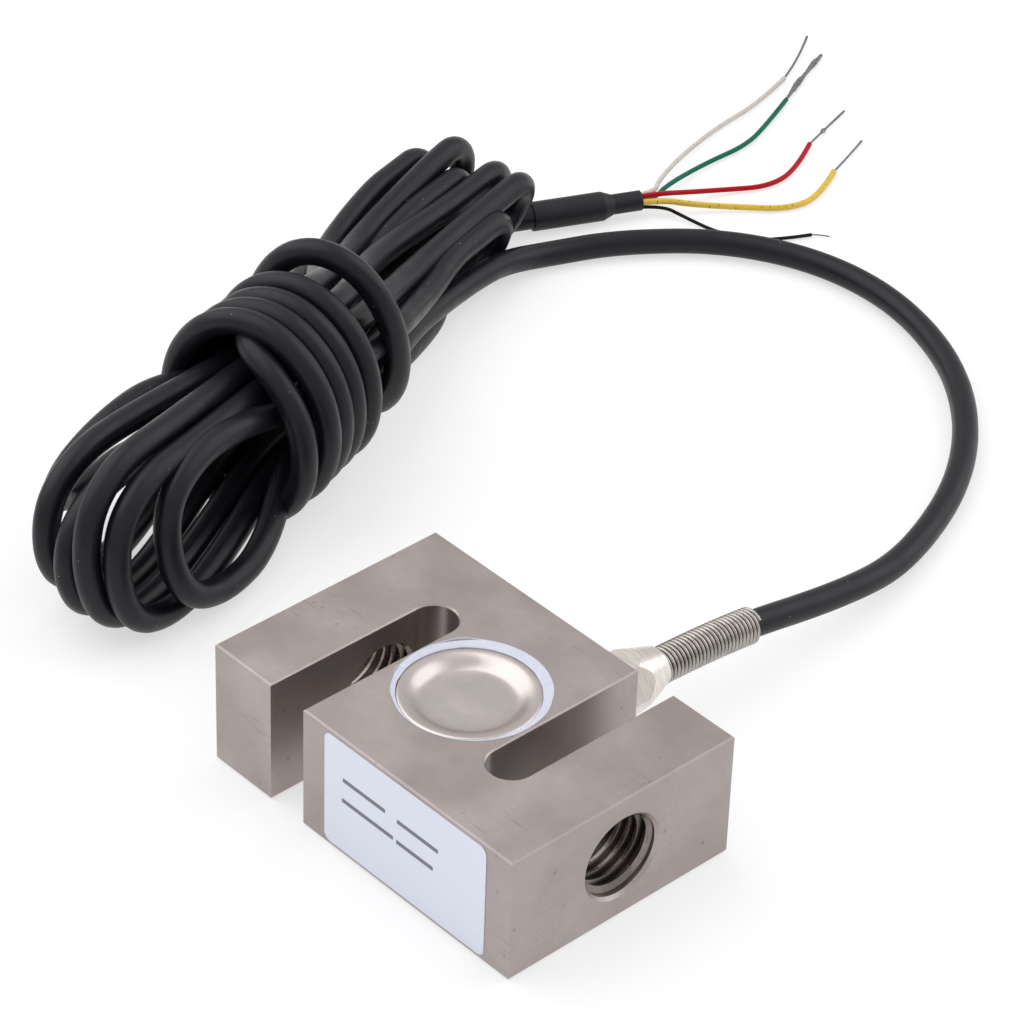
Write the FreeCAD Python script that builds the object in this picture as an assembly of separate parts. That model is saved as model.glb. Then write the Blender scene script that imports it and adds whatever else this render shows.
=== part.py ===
"""S-beam load cell with its signal cable: solids in millimetres, one STEP file per piece.

The S-shaped block lies on one large face. X is the load axis, from one threaded end to the
other, Y is the block's width and +Z is up. The origin is the middle of the block's underside.
"""
import FreeCAD, Part
import math
import os
from FreeCAD import Vector

# ---- block ---------------------------------------------------------------------------
BLOCK_LENGTH = 76.2
BLOCK_WIDTH = 50.8
BLOCK_THICKNESS = 25.4
EDGE_BREAK = 0.3

SLOT_WIDTH = 8.7
ARM_THICKNESS = 14.9        # wall between an end face and its slot
LIMB_THICKNESS = 13.0       # metal left between a slot's round end and the closed side

THREAD_RADIUS = 8.0         # M16 major radius; the thread form itself is finer than this model
THREAD_MOUTH_CHAMFER = 0.6

# ---- gauge pockets and their covers ----------------------------------------------------
SHEAR_WEB = 4.0             # thin web at mid thickness that carries the strain gauges
CUP_RADIUS = 12.7
SEALANT_WIDTH = 1.3         # sealant between the cup and the wall of its seat
SEAT_LEDGE = 1.2            # ledge on which the cup's skirt stands
CUP_SHEET = 0.5
CUP_SKIRT = 2.2
CUP_RECESS = 1.6
CUP_RIM_WIDTH = 1.8
CUP_SLOPE_WIDTH = 2.1
CUP_RIM_FILLET = 0.4
CUP_BEND_FILLET = 1.0
CUP_BELOW_FACE = 0.4
CUP_OFF_CENTRE = -0.6       # the cups are bedded by hand, a little off the seat's centre
SEALANT_DIP = 0.15          # sealant surface below the block's face

# ---- gauges, terminal board and inner wiring -------------------------------------------
GAUGE_LENGTH = 5.0
GAUGE_WIDTH = 3.0
GAUGE_THICKNESS = 0.12
GAUGE_OFFSET = 3.1
BOARD_LENGTH = 8.0
BOARD_WIDTH = 4.4
BOARD_THICKNESS = 0.8
BOARD_CENTRE_X = -2.6
BOARD_CENTRE_Y = 6.2
RESISTOR_LENGTH = 2.0
RESISTOR_WIDTH = 1.2
RESISTOR_HEIGHT = 0.5
INNER_WIRE_RADIUS = 0.35
LEAD_RADIUS = 0.2
LEAD_LAP = 0.9              # lead laid over the board's edge
WEB_HOLE_RADIUS = 1.4
WEB_HOLE_X = -8.6
CORE_COUNT = 4
CORE_HEIGHT = 1.2           # cores leave the cable's end this far above its axis
CORE_RUN = 3.3
CORE_LANDING = 2.6          # from a core's last bend to its joint on the board
JUMPER_DIP = 0.4

# ---- label -----------------------------------------------------------------------------
LABEL_LENGTH = 40.8
LABEL_HEIGHT = 23.6
LABEL_THICKNESS = 0.12
LABEL_CORNER = 1.6
LABEL_CENTRE_X = 11.6

# ---- cable gland and strain relief -------------------------------------------------------
GLAND_X = 4.25
GLAND_HEX = 11.0            # across flats
GLAND_HEX_LENGTH = 7.4      # block face to the hexagon's corners
GLAND_LENGTH = 15.0         # block face to the nose
GLAND_NOSE_RADIUS = 3.75
GLAND_STEM_RADIUS = 4.0
GLAND_STEM_LENGTH = 9.0
GLAND_TAPPING_RADIUS = 3.5
WIRE_HOLE_PAST_POCKET = 2.0
SEAL_RADIUS = 3.2
SEAL_LENGTH = 12.0
SPRING_RADIUS = 3.5
SPRING_WIRE = 0.8
SPRING_COILS = 27
SPRING_LENGTH = 23.2
SPRING_TUCK = 1.2           # length of spring held inside the gland's nose

# ---- cable -------------------------------------------------------------------------------
CABLE_RADIUS = 2.6
CORD_CLEARANCE = 0.1
CABLE_ROUTE = [
    (4.25, 17.0, 12.7), (4.25, 52.0, 12.7), (5.2, 88.0, 5.7), (2.4, 109.0, 2.6),
    (-9.5, 137.0, 2.6), (-30.0, 158.5, 2.6), (-55.0, 169.5, 2.6), (-78.0, 169.5, 2.6),
    (-98.0, 159.5, 2.6), (-112.0, 142.0, 2.6), (-118.5, 126.0, 2.6),
]
HANK_MIDDLE = Vector(-108.0, 35.0, 0.0)
HANK_BEARING = 104.8        # degrees from +X to the hank's long direction
# along the hank, across it, half width, half height: the hank lies on the floor throughout
HANK_SECTIONS = [
    (-61.0, 12.0, 11.0, 8.5), (-56.0, 11.5, 18.0, 15.0), (-45.0, 11.0, 21.0, 18.0),
    (-28.0, 11.0, 21.5, 19.0), (-14.0, 12.0, 20.5, 21.0), (10.0, 11.5, 21.0, 22.3),
    (20.0, 10.0, 20.0, 22.0), (28.0, 7.0, 17.0, 18.5), (45.0, 3.0, 16.0, 15.0),
    (70.0, -2.0, 15.0, 13.5), (88.0, -4.0, 14.0, 12.5), (97.0, -4.5, 10.0, 9.0),
]
LEAD_DEPTH = 24.0           # how far a cable end is followed into the hank

# ---- sleeve and wires at the free end ------------------------------------------------------
SLEEVE_MOUTH = Vector(-120.2, 155.8, 3.15)
SLEEVE_BEARING = 65.8       # degrees from +X to the direction in which the wires leave
SLEEVE_RADIUS = 3.1
SLEEVE_NECK_RADIUS = 2.15
SLEEVE_LENGTH = 24.0
SLEEVE_NECK_LENGTH = 6.2
SLEEVE_TAPER_LENGTH = 2.4
SLEEVE_BORE = 1.8           # inside the neck, round the cores
SLEEVE_GAP = 1.0            # bare cable between the hank's lead and the sleeve
TAIL_LENGTH = 16.0          # from the hank's lead to the place where the cores part
CORE_CIRCLE_RADIUS = 1.05
CORE_FREE = 3.5             # how far past the mouth the wires begin to part
WIRES = {
    # name: (radius, place round the sleeve's mouth in degrees, route on from the mouth)
    "white": (0.52, 162.0, [(-124.6, 165.4, 2.2), (-130.4, 178.4, 0.8), (-134.0, 192.6, 0.55),
                            (-135.4, 206.0, 0.55), (-139.4, 218.2, 0.55)]),
    "green": (0.52, 234.0, [(-121.4, 166.4, 1.3), (-124.8, 179.8, 0.7), (-124.6, 192.0, 0.55),
                            (-128.4, 202.4, 0.55), (-132.6, 212.0, 0.55)]),
    "red": (0.55, 90.0, [(-117.6, 166.2, 2.2), (-114.4, 175.2, 0.8), (-109.6, 183.6, 0.58),
                         (-110.6, 192.8, 0.58), (-116.2, 202.6, 0.58)]),
    "yellow": (0.65, 18.0, [(-113.8, 164.8, 1.6), (-107.0, 173.2, 0.8), (-100.4, 180.6, 0.68),
                            (-99.8, 189.0, 0.68), (-104.8, 198.4, 0.68)]),
    "black": (0.38, 306.0, [(-111.4, 161.4, 0.6), (-104.0, 162.6, 0.4), (-96.8, 166.4, 0.4),
                            (-92.6, 172.8, 0.4), (-90.6, 177.2, 0.4)]),
}
STRANDS = {
    # name: (radius, route on from the end of the insulation)
    "white": (0.22, [(-143.2, 226.4, 0.3), (-149.4, 235.6, 0.3)]),
    "green": (0.30, [(-137.4, 221.6, 0.4), (-141.4, 232.0, 0.4)]),
    "red": (0.22, [(-118.6, 209.6, 0.3), (-121.4, 218.8, 0.3)]),
    "yellow": (0.22, [(-107.4, 205.4, 0.3), (-110.2, 212.6, 0.3)]),
    "black": (0.15, [(-89.4, 178.8, 0.3), (-87.8, 179.8, 0.25)]),
}

# ---- values that follow from the ones above ------------------------------------------------
HALF_LENGTH = BLOCK_LENGTH / 2
HALF_WIDTH = BLOCK_WIDTH / 2
MID_Z = BLOCK_THICKNESS / 2
SLOT_RADIUS = SLOT_WIDTH / 2
SEAT_RADIUS = CUP_RADIUS + SEALANT_WIDTH
POCKET_RADIUS = CUP_RADIUS - SEAT_LEDGE
SLOT_CENTRE = HALF_LENGTH - ARM_THICKNESS - SLOT_RADIUS
SEAT_DEPTH = CUP_BELOW_FACE + CUP_SKIRT
WEB_TOP = MID_Z + SHEAR_WEB / 2
GLAND_TIP_Y = HALF_WIDTH + GLAND_LENGTH
X_AXIS = Vector(1, 0, 0)
Y_AXIS = Vector(0, 1, 0)
Z_AXIS = Vector(0, 0, 1)
FULL_TURN = 360.0


def save(shape, name):
    """Write one piece as its own STEP file."""
    shape.exportStep(os.path.join("parts", name + ".step"))
    print("%-24s %10.1f mm3  %3d faces" % (name, shape.Volume, len(shape.Faces)))


def revolved(profile, base=Vector(), axis=Z_AXIS):
    """Solid of revolution: profile is a closed list of (radius, height) about the axis."""
    points = [Vector(radius, 0, height) for radius, height in profile]
    face = Part.Face(Part.makePolygon(points + [points[0]]))
    solid = face.revolve(Vector(), Z_AXIS, FULL_TURN)
    solid.Placement = FreeCAD.Placement(base, FreeCAD.Rotation(Z_AXIS, axis))
    return solid


def circles_at(solid, radius, height):
    """Circular edges of a turned piece at one radius and height."""
    return [edge for edge in solid.Edges
            if isinstance(edge.Curve, Part.Circle) and abs(edge.Curve.Radius - radius) < 1e-6
            and abs(edge.Curve.Center.z - height) < 1e-6]


def flipped(solid):
    """The same piece on the block's underside."""
    turned = solid.copy()
    turned.rotate(Vector(0, 0, MID_Z), X_AXIS, 180)
    return turned


# ---- cords -----------------------------------------------------------------------------------
def bend_radius(before, corner, after):
    """Radius of the arc at a corner, as large as the two runs beside it allow."""
    run_in = corner - before
    run_out = after - corner
    shorter = min(run_in.Length, run_out.Length)
    return 0.45 * shorter / math.tan(run_in.getAngle(run_out) / 2)


def cord_path(points):
    """Wire of straight runs joined by tangent arcs, and the radii of those arcs."""
    points = [Vector(*point) for point in points]
    edges = []
    radii = []
    here = points[0]
    for before, corner, after in zip(points, points[1:], points[2:]):
        way_in = (corner - before).normalize()
        way_out = (after - corner).normalize()
        half_turn = way_in.getAngle(way_out) / 2
        radius = bend_radius(before, corner, after)
        radii.append(radius)
        trim = radius * math.tan(half_turn)
        inward = (way_out - way_in).normalize()
        middle = corner + inward * (radius / math.cos(half_turn) - radius)
        arc_start = corner - way_in * trim
        arc_end = corner + way_out * trim
        edges.append(Part.LineSegment(here, arc_start).toShape())
        edges.append(Part.Arc(arc_start, middle, arc_end).toShape())
        here = arc_end
    edges.append(Part.LineSegment(here, points[-1]).toShape())
    return Part.Wire(edges), radii


def tube(name, points, radius):
    """Round cord along a route, with its bends and its volume checked in print."""
    path, radii = cord_path(points)
    way = Vector(*points[1]) - Vector(*points[0])
    ring = Part.Wire(Part.makeCircle(radius, Vector(*points[0]), way))
    solid = path.makePipeShell([ring], True, False)
    expected = math.pi * radius ** 2 * path.Length
    bends = ", ".join("%.1f" % value for value in radii)
    print("%s: length %.1f, volume %.4f of section x length, bend radii %s"
          % (name, path.Length, solid.Volume / expected, bends))
    return solid


# ---- block -----------------------------------------------------------------------------------
def slot(side):
    """Round-ended slot: the one at +X opens on +Y and the one at -X on -Y."""
    tip = -side * (HALF_WIDTH - LIMB_THICKNESS)
    round_end = Vector(side * SLOT_CENTRE, tip + side * SLOT_RADIUS, 0)
    reach = HALF_WIDTH + EDGE_BREAK + 1 - side * round_end.y
    straight = Part.makeBox(SLOT_WIDTH, reach, BLOCK_THICKNESS,
                            Vector(side * SLOT_CENTRE - SLOT_RADIUS,
                                   min(round_end.y, round_end.y + side * reach), 0))
    return straight.fuse(Part.makeCylinder(SLOT_RADIUS, BLOCK_THICKNESS, round_end)).removeSplitter()


def outline_edges(solid):
    """Edges that run round the two large faces, before any hole is cut in them."""
    flat = [0.0, BLOCK_THICKNESS]
    return [edge for edge in solid.Edges
            if all(min(abs(vertex.Z - z) for z in flat) < 1e-6 for vertex in edge.Vertexes)
            and abs(edge.CenterOfMass.z - edge.Vertexes[0].Z) < 1e-6]


def make_body():
    block = Part.makeBox(BLOCK_LENGTH, BLOCK_WIDTH, BLOCK_THICKNESS,
                         Vector(-HALF_LENGTH, -HALF_WIDTH, 0))
    for side in (-1, 1):
        block = block.cut(slot(side))
    block = block.makeChamfer(EDGE_BREAK, outline_edges(block))
    for side in (-1, 1):
        face = Vector(side * HALF_LENGTH, 0, MID_Z)
        inward = Vector(-side, 0, 0)
        block = block.cut(Part.makeCylinder(THREAD_RADIUS, ARM_THICKNESS + SLOT_RADIUS,
                                            face, inward))
        block = block.cut(Part.makeCone(THREAD_RADIUS + THREAD_MOUTH_CHAMFER, THREAD_RADIUS,
                                        THREAD_MOUTH_CHAMFER, face, inward))
    pocket_depth = MID_Z - SHEAR_WEB / 2
    pocket = Part.makeCylinder(POCKET_RADIUS, pocket_depth, Vector(0, 0, WEB_TOP))
    seat = Part.makeCylinder(SEAT_RADIUS, SEAT_DEPTH, Vector(0, 0, BLOCK_THICKNESS - SEAT_DEPTH))
    for hollow in (pocket, seat):
        block = block.cut(hollow).cut(flipped(hollow))
    gland_face = Vector(GLAND_X, HALF_WIDTH, MID_Z)
    pocket_edge = math.sqrt(POCKET_RADIUS ** 2 - GLAND_X ** 2)
    tapping_length = HALF_WIDTH - pocket_edge + WIRE_HOLE_PAST_POCKET
    block = block.cut(Part.makeCylinder(GLAND_STEM_RADIUS, GLAND_STEM_LENGTH, gland_face, -Y_AXIS))
    block = block.cut(Part.makeCylinder(GLAND_TAPPING_RADIUS, tapping_length, gland_face, -Y_AXIS))
    block = block.cut(Part.makeCylinder(WEB_HOLE_RADIUS, BLOCK_THICKNESS, Vector(WEB_HOLE_X, 0, 0)))
    return block


# ---- covers ----------------------------------------------------------------------------------
def make_cup():
    """Pressed cover: rim, sloping ring, flat floor and a short skirt that stands on the seat."""
    top = BLOCK_THICKNESS - CUP_BELOW_FACE
    slope_outer = CUP_RADIUS - CUP_RIM_WIDTH
    floor_radius = slope_outer - CUP_SLOPE_WIDTH
    floor_top = top - CUP_RECESS
    bend_shift = CUP_SHEET * math.tan(math.atan2(CUP_RECESS, CUP_SLOPE_WIDTH) / 2)
    profile = [
        (0, floor_top), (floor_radius, floor_top), (slope_outer, top), (CUP_RADIUS, top),
        (CUP_RADIUS, top - CUP_SKIRT), (CUP_RADIUS - CUP_SHEET, top - CUP_SKIRT),
        (CUP_RADIUS - CUP_SHEET, top - CUP_SHEET), (slope_outer + bend_shift, top - CUP_SHEET),
        (floor_radius + bend_shift, floor_top - CUP_SHEET), (0, floor_top - CUP_SHEET),
    ]
    cup = revolved(profile)
    for radius, height, fillet in ((CUP_RADIUS, top, CUP_RIM_FILLET),
                                   (slope_outer, top, CUP_BEND_FILLET),
                                   (floor_radius, floor_top, CUP_BEND_FILLET)):
        cup = cup.makeFillet(fillet, circles_at(cup, radius, height))
    cup.translate(Vector(0, CUP_OFF_CENTRE, 0))
    return cup


def make_sealant():
    """Sealant between the seat's wall and the cup, thicker on the side that the cup leaves."""
    height = SEAT_DEPTH - SEALANT_DIP
    foot = BLOCK_THICKNESS - SEAT_DEPTH
    ring = Part.makeCylinder(SEAT_RADIUS, height, Vector(0, 0, foot))
    return ring.cut(Part.makeCylinder(CUP_RADIUS, height, Vector(0, CUP_OFF_CENTRE, foot)))


# ---- gauges and wiring -------------------------------------------------------------------------
def make_gauge(side):
    """Foil gauge on the web, at 45 degrees to the load axis."""
    gauge = Part.makeBox(GAUGE_LENGTH, GAUGE_WIDTH, GAUGE_THICKNESS,
                         Vector(-GAUGE_LENGTH / 2, -GAUGE_WIDTH / 2, WEB_TOP))
    gauge.rotate(Vector(), Z_AXIS, side * 45)
    gauge.translate(Vector(side * GAUGE_OFFSET, 0, 0))
    return gauge


def make_board():
    return Part.makeBox(BOARD_LENGTH, BOARD_WIDTH, BOARD_THICKNESS,
                        Vector(BOARD_CENTRE_X - BOARD_LENGTH / 2, BOARD_CENTRE_Y - BOARD_WIDTH / 2,
                               WEB_TOP))


def make_resistors():
    """Two chip resistors on the terminal board."""
    height = WEB_TOP + BOARD_THICKNESS
    chips = [Part.makeBox(RESISTOR_LENGTH, RESISTOR_WIDTH, RESISTOR_HEIGHT,
                          Vector(BOARD_CENTRE_X + side * BOARD_LENGTH / 4 - RESISTOR_LENGTH / 2,
                                 BOARD_CENTRE_Y, height))
             for side in (-1, 1)]
    return Part.makeCompound(chips)


def make_core_wires():
    """Four cores of the cable, from its stripped end over the web to the terminal board."""
    start_y = CABLE_ROUTE[0][1]
    board_top = WEB_TOP + BOARD_THICKNESS + INNER_WIRE_RADIUS
    over_web = (WEB_TOP + MID_Z + GLAND_TAPPING_RADIUS) / 2
    front = BOARD_CENTRE_Y - BOARD_WIDTH / 2 + 2 * INNER_WIRE_RADIUS
    spacing = 3 * INNER_WIRE_RADIUS
    wires = []
    for number in range(CORE_COUNT):
        shift = (number - (CORE_COUNT - 1) / 2) * spacing
        lane = GLAND_X + shift
        end_x = BOARD_CENTRE_X + BOARD_LENGTH / 2 - 2 * INNER_WIRE_RADIUS
        end_y = front - shift / 2
        points = [(lane, start_y, MID_Z + CORE_HEIGHT),
                  (lane, start_y - CORE_RUN, MID_Z + CORE_HEIGHT),
                  (lane, start_y - 2 * CORE_RUN, over_web),
                  (lane, end_y + CORE_LANDING, board_top),
                  (end_x, end_y, board_top)]
        wires.append(tube("core wire %d" % number, points, INNER_WIRE_RADIUS))
    return Part.makeCompound(wires)


def make_gauge_leads():
    """Fine leads from the two upper gauges to the terminal board."""
    board_top = WEB_TOP + BOARD_THICKNESS + LEAD_RADIUS
    on_web = WEB_TOP + GAUGE_THICKNESS + LEAD_RADIUS
    board_edge = BOARD_CENTRE_Y - BOARD_WIDTH / 2
    leads = []
    for gauge_x, board_x in ((-GAUGE_OFFSET, BOARD_CENTRE_X - 1), (GAUGE_OFFSET, BOARD_CENTRE_X + 1)):
        points = [(gauge_x, 0, on_web), (gauge_x, GAUGE_WIDTH / 2, on_web),
                  ((gauge_x + board_x) / 2, board_edge - 2 * LEAD_RADIUS, board_top),
                  (board_x, board_edge + LEAD_LAP, board_top)]
        leads.append(tube("gauge lead", points, LEAD_RADIUS))
    return Part.makeCompound(leads)


def make_jumpers():
    """Two leads from the lower gauges' side, up through the hole in the web, to the board."""
    board_top = WEB_TOP + BOARD_THICKNESS + LEAD_RADIUS
    under_web = 2 * MID_Z - WEB_TOP - GAUGE_THICKNESS - LEAD_RADIUS
    board_end = BOARD_CENTRE_X - BOARD_LENGTH / 2
    jumpers = []
    for side in (-1, 1):
        lane = side * 2 * LEAD_RADIUS
        points = [(-GAUGE_OFFSET, lane, under_web),
                  (WEB_HOLE_X + lane, lane / 2, under_web - JUMPER_DIP),
                  (WEB_HOLE_X + lane, lane, board_top),
                  (board_end + LEAD_LAP, BOARD_CENTRE_Y + 2 * lane, board_top)]
        jumpers.append(tube("jumper", points, LEAD_RADIUS))
    return Part.makeCompound(jumpers)


def make_label():
    """Rounded sticker on the block's -Y side."""
    low = Vector(LABEL_CENTRE_X - LABEL_LENGTH / 2, -HALF_WIDTH - LABEL_THICKNESS,
                 MID_Z - LABEL_HEIGHT / 2)
    sheet = Part.makeBox(LABEL_LENGTH, LABEL_THICKNESS, LABEL_HEIGHT, low)
    upright = [edge for edge in sheet.Edges
               if abs(edge.tangentAt(edge.FirstParameter).dot(Y_AXIS)) > 0.9]
    return sheet.makeFillet(LABEL_CORNER, upright)


# ---- gland and spring ----------------------------------------------------------------------------
def make_gland():
    """Hexagon with a turned cone to its nose, a threaded stem and a stepped bore."""
    corner_radius = GLAND_HEX / math.sqrt(3)
    corners = [Vector(corner_radius * math.cos(math.radians(60 * k)), 0,
                      corner_radius * math.sin(math.radians(60 * k))) for k in range(6)]
    hexagon = Part.Face(Part.makePolygon(corners + [corners[0]])).extrude(Y_AXIS * GLAND_LENGTH)
    envelope = revolved([(0, 0), (corner_radius, 0), (corner_radius, GLAND_HEX_LENGTH),
                         (GLAND_NOSE_RADIUS, GLAND_LENGTH), (0, GLAND_LENGTH)], axis=Y_AXIS)
    gland = hexagon.common(envelope)
    gland = gland.fuse(Part.makeCylinder(GLAND_STEM_RADIUS, GLAND_STEM_LENGTH, Vector(), -Y_AXIS))
    stem_end = Vector(0, -GLAND_STEM_LENGTH, 0)
    gland = gland.cut(Part.makeCylinder(SEAL_RADIUS, SEAL_LENGTH, stem_end, Y_AXIS))
    bore = CABLE_RADIUS + 2 * CORD_CLEARANCE
    gland = gland.cut(Part.makeCylinder(bore, GLAND_STEM_LENGTH + GLAND_LENGTH, stem_end, Y_AXIS))
    nose_hole = Part.makeCylinder(SPRING_RADIUS + CORD_CLEARANCE / 2, SPRING_TUCK,
                                  Vector(0, GLAND_LENGTH - SPRING_TUCK, 0), Y_AXIS)
    gland = gland.cut(nose_hole)
    gland.translate(Vector(GLAND_X, HALF_WIDTH, MID_Z))
    return gland


def make_seal():
    """Rubber sleeve that grips the cable inside the gland's stem."""
    foot = Vector(GLAND_X, HALF_WIDTH - GLAND_STEM_LENGTH, MID_Z)
    sleeve = Part.makeCylinder(SEAL_RADIUS, SEAL_LENGTH, foot, Y_AXIS)
    return sleeve.cut(Part.makeCylinder(CABLE_RADIUS, SEAL_LENGTH, foot, Y_AXIS))


def spring_stations():
    """Places and directions along the spring: it follows the cable's first bend."""
    path, _ = cord_path(CABLE_ROUTE[:3])
    lengths = [edge.Length for edge in path.Edges]
    start = GLAND_TIP_Y - SPRING_TUCK - CABLE_ROUTE[0][1]

    def at(distance):
        for edge, length in zip(path.Edges, lengths):
            if distance <= length:
                parameter = edge.getParameterByLength(distance)
                return edge.valueAt(parameter), edge.tangentAt(parameter)
            distance -= length
        return None

    pitch = (SPRING_LENGTH + SPRING_TUCK) / SPRING_COILS
    return [(at(start + pitch * (turn + part)), part)
            for turn in range(SPRING_COILS) for part in (0.0, 0.5)] + [
                (at(start + pitch * SPRING_COILS), 0.0)]


def make_spring():
    """Close-wound spring as one ribbed tube: a rib for each coil, along the bent axis."""
    valley = SPRING_RADIUS - SPRING_WIRE / 2
    rings = []
    for (place, way), part in spring_stations():
        radius = valley if part == 0.0 else SPRING_RADIUS
        rings.append(Part.Wire(Part.makeCircle(radius, place, way)))
    outside = Part.makeLoft(rings, True, True)
    inner_radius = SPRING_RADIUS - SPRING_WIRE
    hole = []
    for (place, way), part in spring_stations():
        if part == 0.0:
            hole.append(Part.Wire(Part.makeCircle(inner_radius, place, way)))
    return outside.cut(Part.makeLoft(hole, True, True))


# ---- hank, sleeve and wires ----------------------------------------------------------------------
def bearing(degrees):
    return Vector(math.cos(math.radians(degrees)), math.sin(math.radians(degrees)), 0)


def make_hank():
    """Outer shape of the folded and wrapped cable, with the two cable ends that leave it."""
    along = bearing(HANK_BEARING)
    across = bearing(HANK_BEARING - 90)
    rings = []
    for station, shift, half_width, half_height in HANK_SECTIONS:
        centre = HANK_MIDDLE + along * station + across * shift + Z_AXIS * half_height
        rings.append(ellipse_wire(centre, HANK_BEARING - 90, half_width, half_height))
    bundle = Part.makeLoft(rings, True, True)
    before, last = [Vector(*point) for point in CABLE_ROUTE[-2:]]
    lead_in = Part.makeCylinder(CABLE_RADIUS, LEAD_DEPTH, last, last - before)
    tail_start = sleeve_point(SLEEVE_LENGTH + SLEEVE_GAP)
    lead_out = Part.makeCylinder(CABLE_RADIUS, LEAD_DEPTH, tail_start, -bearing(SLEEVE_BEARING))
    return bundle.fuse(lead_in).fuse(lead_out)


def ellipse_wire(centre, turn, half_width, half_height):
    """Upright ellipse square to the hank: a unit circle that is stretched, then set in place."""
    stretch = FreeCAD.Matrix()
    stretch.scale(half_width, 1, half_height)
    ring = Part.makeCircle(1, Vector(), Y_AXIS).transformGeometry(stretch)
    ring.Placement = FreeCAD.Placement(centre, FreeCAD.Rotation(Z_AXIS, turn))
    return Part.Wire(ring)


def sleeve_point(distance):
    """Point on the sleeve's axis, a distance back from its mouth."""
    return SLEEVE_MOUTH - bearing(SLEEVE_BEARING) * distance


def make_sleeve():
    """Heat-shrink sleeve: wide over the cable, drawn in over the bare cores."""
    taper_start = SLEEVE_LENGTH - SLEEVE_NECK_LENGTH - SLEEVE_TAPER_LENGTH
    core_end = TAIL_LENGTH - SLEEVE_GAP
    profile = [
        (CABLE_RADIUS, 0), (SLEEVE_RADIUS, 0), (SLEEVE_RADIUS, taper_start),
        (SLEEVE_NECK_RADIUS, SLEEVE_LENGTH - SLEEVE_NECK_LENGTH),
        (SLEEVE_NECK_RADIUS, SLEEVE_LENGTH), (SLEEVE_BORE, SLEEVE_LENGTH),
        (SLEEVE_BORE, core_end), (CABLE_RADIUS, core_end),
    ]
    return revolved(profile, sleeve_point(SLEEVE_LENGTH), bearing(SLEEVE_BEARING))


def make_tail():
    """Cable end between the hank and the place inside the sleeve where its cores part."""
    return Part.makeCylinder(CABLE_RADIUS, TAIL_LENGTH, sleeve_point(SLEEVE_LENGTH + SLEEVE_GAP),
                             bearing(SLEEVE_BEARING))


def core_start(name):
    """Where a wire leaves the cable's cut end, and where it begins to part from the others."""
    _, turn, _ = WIRES[name]
    side = bearing(SLEEVE_BEARING - 90) * math.cos(math.radians(turn))
    offset = (side + Z_AXIS * math.sin(math.radians(turn))) * CORE_CIRCLE_RADIUS
    parting = SLEEVE_LENGTH + SLEEVE_GAP - TAIL_LENGTH
    return [sleeve_point(parting) + offset, sleeve_point(-CORE_FREE) + offset]


def make_wire(name):
    radius, _, route = WIRES[name]
    return tube("wire " + name, core_start(name) + route, radius)


def make_strand(name):
    """Bare twisted end of a wire, from the end face of its insulation."""
    radius, route = STRANDS[name]
    return tube("strand " + name, [WIRES[name][2][-1]] + route, radius)


def main():
    os.makedirs("parts", exist_ok=True)
    save(make_body(), "sensor_body")
    cup = make_cup()
    save(cup, "top_cover_cup")
    save(flipped(cup), "bottom_cover_cup")
    sealant = make_sealant()
    save(sealant, "top_sealant_ring")
    save(flipped(sealant), "bottom_sealant_ring")
    for side, place in ((-1, "rear"), (1, "front")):
        gauge = make_gauge(side)
        save(gauge, "strain_gauge_top_" + place)
        save(flipped(gauge), "strain_gauge_bottom_" + place)
    save(make_board(), "terminal_board")
    save(make_resistors(), "trim_resistors")
    save(make_core_wires(), "cable_core_wires")
    save(make_gauge_leads(), "gauge_lead_wires")
    save(make_jumpers(), "web_jumper_wires")
    save(make_label(), "side_label")
    save(make_gland(), "cable_gland")
    save(make_seal(), "gland_seal")
    save(make_spring(), "strain_relief_spring")
    save(tube("cable", CABLE_ROUTE, CABLE_RADIUS), "signal_cable")
    save(make_hank(), "cable_hank")
    save(make_tail(), "cable_tail")
    save(make_sleeve(), "heat_shrink_sleeve")
    for name in WIRES:
        save(make_wire(name), "wire_" + name)
        save(make_strand(name), "strand_" + name)


main()
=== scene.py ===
import math
import random
import bpy
from mathutils import Matrix, Vector, noise


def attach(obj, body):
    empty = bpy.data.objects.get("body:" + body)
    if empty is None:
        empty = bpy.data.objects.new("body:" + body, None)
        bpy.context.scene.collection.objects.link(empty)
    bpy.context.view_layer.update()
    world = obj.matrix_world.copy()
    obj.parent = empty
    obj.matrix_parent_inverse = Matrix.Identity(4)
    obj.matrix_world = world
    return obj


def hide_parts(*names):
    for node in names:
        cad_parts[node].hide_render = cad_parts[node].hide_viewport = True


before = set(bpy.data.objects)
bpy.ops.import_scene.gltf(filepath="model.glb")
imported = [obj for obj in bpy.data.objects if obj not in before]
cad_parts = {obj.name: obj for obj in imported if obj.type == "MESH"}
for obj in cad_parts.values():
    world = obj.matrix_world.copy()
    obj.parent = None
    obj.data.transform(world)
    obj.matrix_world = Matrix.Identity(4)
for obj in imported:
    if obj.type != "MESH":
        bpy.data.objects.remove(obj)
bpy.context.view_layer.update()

# The frame has its origin in the middle of the block's underside, x along the load axis towards
# the thread that the camera sees, y towards the gland and z up. Places and sizes are in
# millimetres, and are multiplied by MM on their way into Blender. Only the stage's are in metres.
MM = 0.001

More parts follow.
